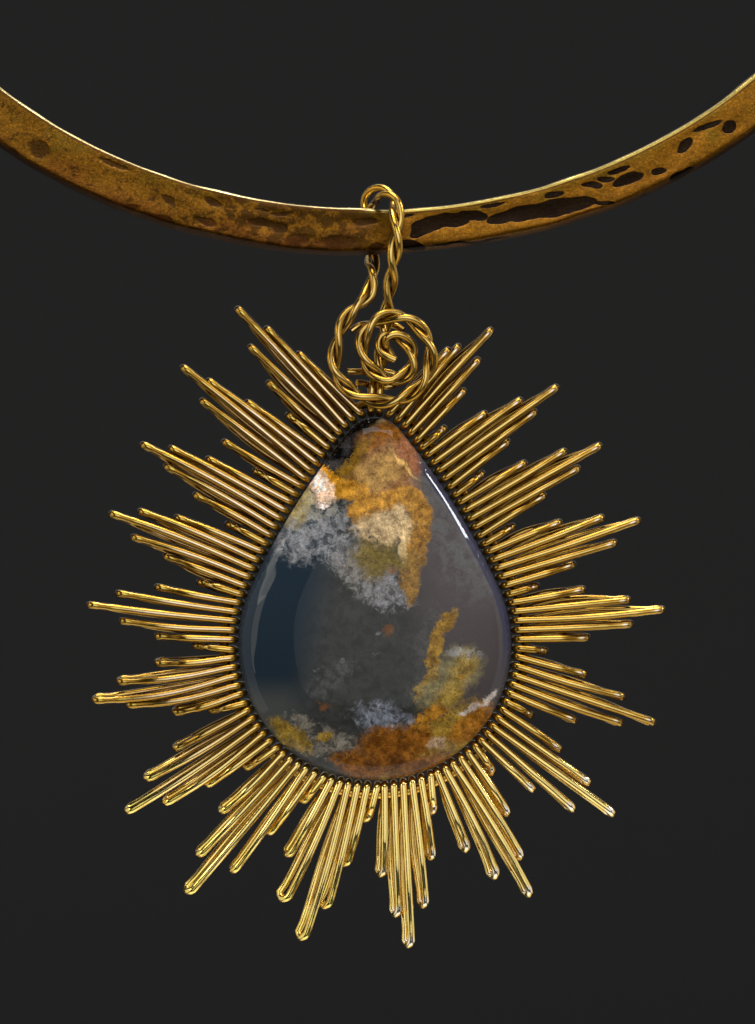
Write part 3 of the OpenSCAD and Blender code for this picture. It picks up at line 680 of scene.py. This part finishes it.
def hammered_brass(name, look):
    """Brass strip with dark hammer marks, a sandy face, painted shade at its edges, and a burnished top edge
    with a painted highlight.
    """
    finish = Finish(name)
    band, mixed, noise = finish.band, finish.mixed, finish.noise
    place = finish.millimetres()
    along, out, depth = strip_places(finish)
    slow = noise(place, 0.32, 2, 0.45)
    slow_2 = noise(place, 0.37, 2, 0.45)
    ragged = noise(place, 2.4, 3, 0.6)
    mottle = noise(place, 1.3, 4, 0.65)
    sand = noise(place, 6.5, 2, 0.7)
    cloud = noise(place, 0.22, 3, 0.6)
    left = band(along, 4.0, -1.0)
    seen = finish.math("MULTIPLY_ADD", depth, -0.487, out + 0.39)
    u = along + 1.8 * (slow - 0.5)
    v = seen + 1.0 * (slow_2 - 0.5) + (0.10 + 0.25 * left) * (ragged - 0.5)
    marks = None
    for row in HAMMER_MARKS:
        inside = finish.inside(u, v, row[:2], row[2:4], row[4])
        marks = inside if marks is None else finish.math("SMOOTH_MAX", marks, inside, 0.45)
    marks = band(marks / (0.10 + 0.35 * left) + 0.8 * left * (mottle - 0.45), -0.9, 1.1)
    front = band(depth, -0.5, -0.1)
    cells = finish.node(
        "ShaderNodeTexVoronoi", {"feature": "SMOOTH_F1"}, {"Vector": place, "Scale": 0.36, "Smoothness": 0.7}
    )
    elsewhere = band(cells + 0.2 * (ragged - 0.5) + 0.4 * (slow - 0.5), 0.30, 0.26) * band(
        noise(place, 0.1, 2, 0.5), 0.47, 0.52
    )
    hidden = band(finish.math("ABSOLUTE", along), 46.0, 50.0)
    marks = finish.most(marks * front, elsewhere * finish.most(hidden, 1 - front))

    base = Vector(look.face_colour)
    grains = noise(place, 3.4, 3, 0.8)
    blots = noise(place, 0.75, 5, 0.7)
    face = mixed(band(mottle + 0.5 * (sand - 0.5), 0.36, 0.68), tuple(1.15 * base), tuple(0.7 * base))
    pink = band(cloud + 0.08 * seen, 0.52, 0.78) * (0.35 + 0.65 * left)
    olive = band(cloud + 0.06 * seen, 0.46, 0.34)
    face = mixed(pink * 0.6, face, (0.95 * base.x, 0.66 * base.y, 2.2 * base.z))
    face = mixed(olive * 0.7, face, (0.72 * base.x, 0.98 * base.y, 1.1 * base.z))
    face = mixed(band(grains, 0.50, 0.72) * 0.6, face, tuple(2.3 * base))
    face = mixed(band(grains, 0.50, 0.32) * 0.6, face, tuple(0.35 * base))
    stained = left * front * band(blots + 0.12 * band(along, -30.0, -8.0), 0.54, 0.66)
    face = mixed(stained * 0.75, face, (0.16 * base.x, 0.17 * base.y, 0.3 * base.z))
    dark = Vector(look.mark_colour)
    hollow = mixed(band(grains, 0.5, 0.72) * 0.6, tuple(dark), tuple(6.0 * dark))
    hollow = mixed(left * 0.7, hollow, tuple(7.0 * dark))
    hollow = mixed(left * pink * 0.5, hollow, (11.0 * dark.x, 6.5 * dark.y, 6.0 * dark.z))
    colour = mixed(marks * (1 - 0.2 * left), face, hollow)
    colour = mixed(left * front * 0.2, colour, (0.0, 0.0, 0.0))
    # Painted shade along the strip's lower edge, stronger on the left
    lower_edge_shade = band(seen, 2.85, 3.1) * (0.5 + 0.5 * left)
    colour = mixed(lower_edge_shade * 0.7, colour, tuple(0.35 * base))

    # The top edge: a painted highlight line on the left, and on the right a broad worn bevel in a painted
    # olive sheen with a painted highlight line in it; painted shade runs just under the line
    under = band(out, -1.45, -1.62) * band(out, -1.85, -1.70)
    under_left = band(out, -1.8, -2.05) * band(out, -2.32, -2.15)
    colour = mixed(finish.mixed_number(left, under, under_left) * 0.8, colour, tuple(0.2 * base))
    # Painted olive sheen on the broad bevel at the right
    bevel = band(out, -1.72, -1.84) * (1 - left) * front
    colour = mixed(bevel, colour, (0.085, 0.062, 0.012))
    # Painted highlight along the top edge, which is also a little less rough, as burnished brass
    line = finish.mixed_number(
        left, band(out, -2.02, -2.10) * band(out, -2.32, -2.2), band(out, -2.2, -2.4)
    )
    line = line * band(depth, -0.4, 0.0)
    top_highlight_colour = mixed(left, (0.62, 0.46, 0.14), (1.0, 0.78, 0.34))
    colour = mixed(line, colour, top_highlight_colour)
    roughness = 0.42 + 0.2 * (sand - 0.5) + 0.05 * marks - 0.14 * line
    height = 1.2 * mottle + 0.9 * sand - 1.0 * marks
    normal = finish.bump(height, 0.00005, 0.6)
    return finish.surface({"Metallic": 1.0}, colour=colour, roughness=roughness, normal=normal)


def agate(name, look):
    """Smoky agate with mist, crystal, ochre and rust that run through the stone from front to back."""
    finish = Finish(name)
    band, mixed, noise = finish.band, finish.mixed, finish.noise
    place = finish.millimetres(PENDANT)
    x0, y0, z0 = finish.parts(place)
    level = finish.vector(x0, 0.25 * y0, z0)
    slow = finish.parts(noise(level, 0.33, 3, 0.55, output=1))
    quick = finish.parts(noise(level, 1.3, 3, 0.6, output=1))
    crisp = finish.parts(noise(level, 4.2, 2, 0.6, output=1))
    x = x0 + 1.9 * (slow[0] - 0.5) + 1.2 * (quick[0] - 0.5) + 0.45 * (crisp[0] - 0.5)
    z = z0 + 1.9 * (slow[1] - 0.5) + 1.2 * (quick[1] - 0.5) + 0.45 * (crisp[1] - 0.5)
    veins = noise(level, 0.75, 7, 0.72, 0.6)
    grit = noise(level, 6.0, 3, 0.75)
    cloud = noise(level, 1.0, 5, 0.68)
    fuzz = noise(level, 2.6, 4, 0.75)
    cells = finish.node("ShaderNodeTexVoronoi", None, {"Vector": level, "Scale": 2.2})
    textures = {
        "wisps": band(veins + 0.25 * (fuzz - 0.5), 0.38, 0.60),
        "grit": band(grit, 0.34, 0.54),
        "cloud": band(cloud, 0.28, 0.56),
        "fuzz": band(fuzz, 0.30, 0.48),
        "facets": band(cells, 0.70, 0.35),
        "specks": band(fuzz, 0.56, 0.64),
    }
    haze = band(veins, 0.32, 0.68)
    colour = mixed(haze, (0.030, 0.031, 0.028), (0.056, 0.057, 0.052))
    colour = mixed(band(x0 + 0.25 * z0, 2.5, 9.0), colour, (0.070, 0.058, 0.057))
    blue = band(x0 - 0.2 * z0, -4.5, -9.5)
    colour = mixed(blue, colour, (0.016, 0.028, 0.041))
    colour = mixed(blue * band(z0, -3.0, -7.0), colour, (0.066, 0.070, 0.064))
    shoulder = band(x0 + 0.5 * z0, 9.0, 14.0) * band(z0, 2.0, 8.0)
    colour = mixed(shoulder * haze, colour, (0.110, 0.106, 0.104))
    marked = None
    for tint, soft, strength, texture, ellipses in AGATE_PATCHES:
        cover = None
        for *middle, length, width, turn in ellipses:
            inside = finish.inside(x, z, middle, (length, width), turn)
            cover = inside if cover is None else finish.math("SMOOTH_MAX", cover, inside, 0.3)
        if texture:
            cover = cover + 1.3 * (textures[texture] - 0.6) * min(1.0, 2 * soft) + 1.6 * (fuzz - 0.5)
        cover = band(cover, -1.6 * soft, 1.6 * soft)
        if texture in ("wisps", "specks", "facets"):
            cover = cover * finish.math("MULTIPLY_ADD", textures[texture], 0.75, 0.25)
        cover = cover * strength
        colour = mixed(cover, colour, tint)
        marked = cover if marked is None else finish.most(marked, cover)
    rim = finish.stored("rim")
    # Painted reflection of a dim blue-violet surrounding, in a band along the steep right rim
    violet_rim_reflection = band(rim + 0.02 * (slow[2] - 0.5), 0.925, 0.945) * band(x0 + 0.2 * z0, 4.0, 8.0)
    violet_rim_reflection = violet_rim_reflection * band(z0, -6.0, 2.0) * band(z0, 21.0, 18.5)
    colour = mixed(violet_rim_reflection * 0.75, colour, (0.020, 0.022, 0.055))
    blotch = noise(level, 0.9, 6, 0.72)
    clot = noise(finish.vector(z0, x0, y0), 2.1, 4, 0.7)
    colour = mixed(marked * band(blotch, 0.54, 0.36) * 0.9, colour, (0.42, 0.37, 0.34), "MULTIPLY")
    colour = mixed(marked * band(clot, 0.50, 0.62) * 0.5, colour, (0.55, 0.48, 0.42), "MULTIPLY")
    speckle = marked * (1.7 * (grit - 0.5) + 0.5 * band(blotch, 0.5, 0.64))
    colour = finish.node(
        "ShaderNodeVectorMath", {"operation": "SCALE"}, {0: colour, "Scale": 0.80 + 0.4 * grit + speckle}
    )
    return finish.surface({"IOR": look.gloss, "Roughness": 0.03}, colour=colour)


def pale_floor(name, look):
    finish = Finish(name)
    place = finish.node("ShaderNodeTexCoord", output=3)
    colour = finish.mixed(
        0.06 * finish.noise(place, 30.0, 3, 0.6), tuple(look.floor_colour), (0.5, 0.5, 0.5)
    )
    return finish.surface({"Roughness": 0.9}, colour=colour)


# One operator for each piece or group of like pieces


class NECKLACE_OT_ring(Operator):
    """Beats the neck ring's strip and gives the clasp the same brass"""

    bl_idname = "necklace.ring"
    bl_label = "Neck ring"

    def execute(self, context):
        look = context.scene.necklace_ring
        brass = hammered_brass("hammered_brass", look)
        section = strip_section(look.strip_width / 2, look.strip_thickness / 2)
        deselect()
        bpy.ops.mesh.primitive_torus_add(
            major_segments=900, minor_segments=len(section), major_radius=RING_RADIUS * MM, minor_radius=MM
        )
        chance = random.Random(5)
        waves = [
            (chance.uniform(0.25, 1.1), chance.uniform(0, 6.28), chance.uniform(0.4, 1.0)) for _ in range(9)
        ]
        mesh = context.object.data
        for vertex in mesh.vertices:
            x, y, z = vertex.co / MM
            turn = math.atan2(z, math.hypot(x, y) - RING_RADIUS) / (2 * math.pi)
            out, depth = section[round(turn * len(section)) % len(section)]
            angle = math.atan2(x, -y)
            along = angle * RING_RADIUS
            swell = sum(a * math.sin(f * along + p) for f, p, a in waves) / 3
            if depth > 0:
                beat = max(mark_depth(along - m, out - o, *shape) for m, o, *shape in HAMMER_MARKS)
                depth -= look.mark_depth * beat
            else:
                depth += look.mark_depth * 0.5 * math.sin(2.1 * out + 3 * swell) * swell
            depth += 0.025 * math.sin(1.4 * out + 2.2 * swell + 0.3 * along)
            if depth > 0 and out < -1.7:
                depth -= 0.5 * ((-1.7 - out) / 0.9) ** 1.5 * eased(along, -1.0, 4.0)
            if out > 0:
                out += wide_part(along) * min(out / 2.0, 1.0)
            out += 0.07 * swell
            radius = RING_RADIUS + out
            vertex.co = Vector((radius * math.sin(angle), -radius * math.cos(angle), depth)) * MM
        mesh.transform(Matrix.Rotation(RING_TILT, 4, "X"))
        named("neck_ring_beaten", brass, "ring", "hammered_brass", "neck_ring")
        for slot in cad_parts["clasp"].material_slots:
            slot.material = brass
        return {"FINISHED"}


def strip_section(half_w, half_t):
    """Round of points on the strip's section, [outwards, forwards], from its lower edge over its front."""
    corners = [
        (half_w, half_t, 0.3, 0),
        (-half_w, half_t, 0.6, 90),
        (-half_w, -half_t, 0.65, 180),
        (half_w, -half_t, 0.35, 270),
    ]
    points = [(half_w, 0.0)]
    for number, (out, forward, radius, first) in enumerate(corners):
        middle_out = out - math.copysign(radius, out)
        middle_forward = forward - math.copysign(radius, forward)
        for k in range(5):
            a = math.radians(first + 90 * k / 4)
            points.append((middle_out + radius * math.cos(a), middle_forward + radius * math.sin(a)))
        if number in (0, 2):
            far_out, _, far_radius, _ = corners[number + 1]
            start, end = middle_out, far_out - math.copysign(far_radius, far_out)
            points += [(start + (end - start) * k / 13, forward) for k in range(1, 13)]
        elif number == 1:
            points.append((out, 0.0))
    return points


def wide_part(along):
    """How much the hammer has spread the strip's lower edge at a place along it."""
    left = 0.42 / (1 + math.exp((along - 0.5) / 1.5))
    right = 0.18 / (1 + math.exp((24 - along) / 3))
    return left + right if abs(along) < 80 else 0.0


def mark_depth(along, out, length, width, rotation):
    """How deep a hammer mark is at a place beside its middle, from 0 to 1."""
    a = math.radians(rotation)
    u = (along * math.cos(a) + out * math.sin(a)) / (1.25 * length)
    v = (out * math.cos(a) - along * math.sin(a)) / (1.25 * width)
    d = u * u + v * v
    return max(0.0, 1 - d) ** 0.7 if d < 1 else 0.0


class NECKLACE_OT_rays(Operator):
    """Bends the eighteen clusters of rays and the frame wire that they hang on"""

    bl_idname = "necklace.rays"
    bl_label = "Rays and frame wire"

    def execute(self, context):
        look = context.scene.necklace_wire
        brass = wire_brass("brass_wire", look, 0.10)
        chance = random.Random(look.seed)
        pitch = (2 * HALF_RUN - HOOK_GAP) / (RAY_COUNT - 1)
        for cluster, row in enumerate(RAY_TIP_PIXELS):
            tips = [tip_place(*pixels) for pixels in row]
            routes = []
            for k, tip in enumerate(tips):
                index = cluster * RAYS_PER_CLUSTER + k
                root = frame_point(HOOK_GAP / 2 + index * pitch)
                routes.append(hairpin(root, tip, RAY_SWAY[cluster], look, chance))
            name = f"rays_{cluster + 1:02d}"
            piece = round_wire(routes, look.radius, 4, closed=True)
            paint_wire_shade(piece, tips, len(piece.data.vertices) // len(routes))
            named(name + "_bent", brass, "pendant", "brass_wire", name)
        steps = 180
        route = [
            (right, 0, up) for right, up in (frame_point(2 * HALF_RUN * i / steps) for i in range(steps))
        ]
        piece = round_wire([route], look.frame_radius, 4, closed=True)
        # Painted shade: the frame wire hidden between the roots is kept dark all over
        paint_wire_shade(piece, least=0.85)
        named("frame_wire_round", brass, "pendant", "brass_wire", "frame_wire")
        return {"FINISHED"}


def hairpin(root, tip, sway, look, chance):
    """Closed route of one ray: front leg, tip bend, back leg, and the bend round the frame wire."""
    root, tip = Vector(root), Vector(tip)
    reach = (tip - root).length
    along = (tip - root).normalized()
    side = Vector((-along.y, along.x))
    span = reach - look.radius - BEND_R
    beside_tip, beside_middle, bow = sway
    size = min(1.0, reach / 14)
    bow = bow * size**2 + chance.uniform(-1, 1) * look.unevenness * size
    beside_middle = beside_middle * size * chance.uniform(0.6, 1.15)
    beside_tip = beside_tip * chance.uniform(0.7, 1.2) * (0.6 + 0.4 * size)
    lift = chance.uniform(0.0, 1.5) * look.unevenness
    pinch = chance.uniform(0.5, 0.62)
    near_tip = 0.94

    def place(run, forward, beside):
        flat = root + along * run + side * beside
        return (flat.x, forward, flat.y)

    def gap(t):
        """Half the distance between the legs: wide at the frame wire, and pinched before the tip."""
        return ROOT_R + lift * math.sin(math.pi * t) + (BEND_R - ROOT_R) * eased(t, pinch, near_tip)

    def behind(t):
        """How far the back leg lies beside the front leg."""
        belly = math.sin(math.pi * min(1.0, t * 1.06)) if t < near_tip else 0.0
        return beside_tip * t**3 + beside_middle * belly

    route = []
    legs, tip_bend, frame_bend = 14, 8, 14
    for i in range(1, legs):
        t = i / legs
        route.append(place(span * t, gap(t), bow * math.sin(math.pi * t)))
    for i in range(tip_bend + 1):
        a = math.pi * (0.5 - i / tip_bend)
        route.append(place(span + BEND_R * math.cos(a), BEND_R * math.sin(a), beside_tip * (i / tip_bend)))
    for i in range(legs - 1, 0, -1):
        t = i / legs
        route.append(place(span * t, -gap(t), behind(t) + bow * math.sin(math.pi * t)))
    for i in range(frame_bend + 1):
        a = math.pi * (1.5 - i / frame_bend)
        inwards, forwards = abs(math.cos(a)) ** 0.55, math.copysign(abs(math.sin(a)) ** 0.55, math.sin(a))
        route.append(place(-ROOT_R * inwards, ROOT_R * forwards, 0))
    return route


class NECKLACE_OT_bail(Operator):
    """Twists the bail's two wires into the loop and the coil, and lays the two short ends behind it"""

    bl_idname = "necklace.bail"
    bl_label = "Bail and coil"

    def execute(self, context):
        look = context.scene.necklace_wire
        brass = wire_brass("brass_twist", look, 0.09, rosy_highlight_share=0.15)
        hook = [
            (0, ROOT_R * math.sin(math.radians(a)), FRAME_TOP - ROOT_R * math.cos(math.radians(a)))
            for a in (-90, -45, 0, 45, 90)
        ]
        coil = [
            (
                COIL_MIDDLE[0] + radius * math.cos(math.radians(angle)),
                forward,
                COIL_MIDDLE[1] + radius * math.sin(math.radians(angle)),
            )
            for angle, radius, forward in COIL_TURNS
        ]
        start = (0, -ROOT_R, FRAME_TOP + 2.4)
        route = smooth_route([start] + hook + BAIL_LEG + BAIL_ARCH + coil + COIL_TAIL, 0.25)
        free_run = math.pi * ROOT_R + 4
        for number, phase in ((1, 0), (2, math.pi)):
            piece = round_wire([strand(route, phase, free_run)], look.radius, 5)
            paint_wire_shade(piece)
            named(f"bail_wire_{number}_twisted", brass, "pendant", "brass_wire", f"bail_wire_{number}")
        for number, points in ((1, TIE_WIRE_1), (2, TIE_WIRE_2)):
            piece = round_wire([smooth_route(points, 0.2)], look.radius * 0.9, 5)
            paint_wire_shade(piece)
            named(f"tie_wire_{number}_bent", brass, "pendant", "brass_wire", f"tie_wire_{number}")
        return {"FINISHED"}


class NECKLACE_OT_stone(Operator):
    """Cuts and polishes the pear-shaped agate"""

    bl_idname = "necklace.stone"
    bl_label = "Agate"

    def execute(self, context):
        look = context.scene.necklace_stone
        deselect()
        bpy.ops.mesh.primitive_uv_sphere_add(segments=200, ring_count=120, radius=1)
        bpy.ops.object.mode_set(mode="EDIT")
        bpy.ops.mesh.select_all(action="SELECT")
        bpy.ops.transform.rotate(value=math.pi / 2, orient_axis="X", center_override=(0, 0, 0))
        bpy.ops.object.mode_set(mode="OBJECT")
        middle = Vector((0, (STONE_HEIGHT - 2 * BELLY_R) / 3))
        drop = stone_drop()
        shares = []
        for vertex in context.object.data.vertices:
            x, y, z = vertex.co
            flat = min(1.0, math.hypot(x, z))
            turn = math.atan2(z, x) if flat > 1e-9 else 0.0
            share = 1 - (1 - 2 / math.pi * math.asin(flat)) ** 1.5
            edge = outline_towards(middle, turn)
            if y < -1e-6:
                depth = GIRDLE + (look.dome_front - GIRDLE) * drop[round(share * (len(drop) - 1))]
            else:
                depth = -look.dome_back * math.sqrt(max(0.0, 1 - share**4))
            across = middle + (edge - middle) * share
            vertex.co = on_pendant((across.x, depth, across.y))
            shares.append(share if y < -1e-6 else 1.0)
        layer = context.object.data.attributes.new("rim", "FLOAT", "POINT")
        layer.data.foreach_set("value", shares)
        named("agate_polished", agate("agate", look), "pendant", "agate", "agate")
        return {"FINISHED"}


def stone_drop():
    """Height of the front dome by share of the way to the girdle: a low dome with a steep rim."""
    steps = 800
    heights = [0.0]
    for i in range(steps):
        share = 1 - (i + 0.5) / steps
        tilt = 26 * min(1.0, share / 0.92) ** 2
        tilt += 12 * eased(share, 0.91, 0.94) + 12 * eased(share, 0.95, 0.985) + 14 * eased(share, 0.985, 1.0)
        heights.append(heights[-1] + math.tan(math.radians(tilt)))
    return [h / heights[-1] for h in reversed(heights)]


def outline_towards(middle, turn):
    """Point of the stone's outline in that direction from its middle, by halving."""
    mirrored = math.cos(turn) > 0
    low, high = math.pi / 2, 1.5 * math.pi
    wanted = math.atan2(math.sin(turn), -abs(math.cos(turn))) % (2 * math.pi)
    for _ in range(40):
        guess = (low + high) / 2
        right, up = pear_left(guess, STONE_OFF)
        found = math.atan2(up - middle.y, right - middle.x) % (2 * math.pi)
        if found < wanted:
            low = guess
        else:
            high = guess
    right, up = pear_left((low + high) / 2, STONE_OFF)
    return Vector((-right if mirrored else right, up))


class NECKLACE_OT_stage(Operator):
    """Sets the pale floor, the soft lights and the camera"""

    bl_idname = "necklace.stage"
    bl_label = "Stage"

    def execute(self, context):
        look = context.scene.necklace_stage
        radius, level, rise = 5.5, -0.9, 1.4
        deselect()
        bpy.ops.mesh.primitive_circle_add(
            vertices=96, radius=radius, fill_type="NGON", location=(0, 0, level)
        )
        bpy.ops.object.mode_set(mode="EDIT")
        bpy.ops.mesh.select_mode(type="EDGE")
        bpy.ops.mesh.select_all(action="SELECT")
        steps = 8
        for i in range(steps):
            a = math.radians(90 * (i + 0.5) / steps)
            step = math.radians(90 / steps)
            grow = radius + math.sin(math.radians(90 * (i + 1) / steps))
            was = radius + math.sin(math.radians(90 * i / steps))
            bpy.ops.mesh.extrude_edges_move(TRANSFORM_OT_translate={"value": (0, 0, step * math.sin(a))})
            bpy.ops.transform.resize(value=(grow / was, grow / was, 1), center_override=(0, 0, 0))
        bpy.ops.mesh.extrude_edges_move(TRANSFORM_OT_translate={"value": (0, 0, rise)})
        bpy.ops.object.mode_set(mode="OBJECT")
        bpy.ops.object.shade_smooth()
        floor = context.object
        floor.name = "floor"
        floor.data.materials.append(pale_floor("pale_floor", look))

        world = bpy.data.worlds.new("studio")
        world.use_nodes = True
        world.node_tree.nodes["Background"].inputs[0].default_value = (0.95, 1.0, 1.08, 1)
        world.node_tree.nodes["Background"].inputs[1].default_value = 0.015
        context.scene.world = world
        context.scene.view_settings.view_transform = "Standard"

        # Each lamp: where it stands, its width and height, its brightness and its tint
        white, cool, warm = (1, 1, 1), (0.93, 0.96, 1.0), (1.0, 0.94, 0.82)
        self.lamp("front", (0.195, -0.63, 0.02), (1.01, 0.76), 0.36, white, spread=100, aside=0.115)
        self.lamp("left", (-0.585, -0.477, -0.08), (0.06, 0.39), 2.2, warm)
        self.lamp("left_high", (-0.594, -0.289, 0.178), (0.40, 0.10), 3.5, warm, roll=-26)
        self.lamp("right", (0.5, -0.05, 0.221), (0.12, 0.08), 45.0, cool)
        self.lamp("top", (0.05, -0.25, 0.45), (0.60, 0.25), 4.0, white)
        self.lamp("overhead", (0.0, 0.0, 1.0), (0.5, 0.5), 3.0, white, spread=60)
        self.lamp("behind", (0.0, 0.6, 0.3), (0.8, 0.8), 0.6, white)
        self.lamp("side_left", (-0.75, -0.05, -0.1), (1.0, 1.0), 0.8, white)
        self.lamp("side_right", (0.75, -0.05, -0.1), (1.0, 1.0), 0.8, white)
        self.lamp("below", (0.0, -0.05, -0.75), (1.0, 1.0), 0.8, white)

        # Where the middle of the photograph falls, a millimetre in front of the pendant's middle
        centre = Vector((1.08, PENDANT.y - 1, -89.24)) * MM
        bpy.ops.object.camera_add(location=centre + Vector((0, -look.camera_distance, 0)))
        camera = context.object
        camera.rotation_euler = (math.pi / 2, 0, 0)
        camera.data.sensor_width = 36
        camera.data.lens = 36 * look.camera_distance / (PHOTO_HEIGHT / PHOTO_SCALE * MM)
        camera.data.clip_start = 0.01
        context.scene.camera = camera
        return {"FINISHED"}

    def lamp(self, name, place, size, brightness, tint, spread=180, aside=0.0, roll=0.0):
        bpy.ops.object.light_add(type="AREA", location=place)
        lamp = bpy.context.object
        lamp.name = name
        lamp.data.shape = "RECTANGLE"
        lamp.data.size, lamp.data.size_y = size
        lamp.data.energy = brightness * math.pi * size[0] * size[1]
        lamp.data.color = tint
        lamp.data.spread = math.radians(spread)
        aim = PENDANT * MM + Vector((aside, 0, 0))
        aimed = (aim - Vector(place)).to_track_quat("-Z", "Y") @ Quaternion((0, 0, 1), math.radians(roll))
        lamp.rotation_euler = aimed.to_euler()
        lamp.visible_camera = False


class NECKLACE_PT_panel(Panel):
    """Lists the pieces of the necklace"""

    bl_idname = "NECKLACE_PT_panel"
    bl_label = "Agate necklace"
    bl_space_type = "VIEW_3D"
    bl_region_type = "UI"
    bl_category = "Necklace"

    def draw(self, context):
        for operator in OPERATORS:
            self.layout.operator(operator.bl_idname)
        for group in GROUPS:
            look = getattr(context.scene, group)
            for key in look.bl_rna.properties.keys():
                if key not in ("rna_type", "name"):
                    self.layout.prop(look, key)


OPERATORS = (NECKLACE_OT_ring, NECKLACE_OT_rays, NECKLACE_OT_bail, NECKLACE_OT_stone, NECKLACE_OT_stage)
GROUPS = {
    "necklace_ring": RingLook,
    "necklace_wire": WireLook,
    "necklace_stone": StoneLook,
    "necklace_stage": StageLook,
}


def register():
    for made in (*GROUPS.values(), *OPERATORS, NECKLACE_PT_panel):
        bpy.utils.register_class(made)
    for key, group in GROUPS.items():
        setattr(bpy.types.Scene, key, PointerProperty(type=group))


def unregister():
    for key in GROUPS:
        delattr(bpy.types.Scene, key)
    for made in (NECKLACE_PT_panel, *OPERATORS, *GROUPS.values()):
        bpy.utils.unregister_class(made)


def main():
    register()
    bpy.ops.necklace.ring()
    bpy.ops.necklace.rays()
    bpy.ops.necklace.bail()
    bpy.ops.necklace.stone()
    bpy.ops.necklace.stage()


if __name__ == "__main__":
    main()
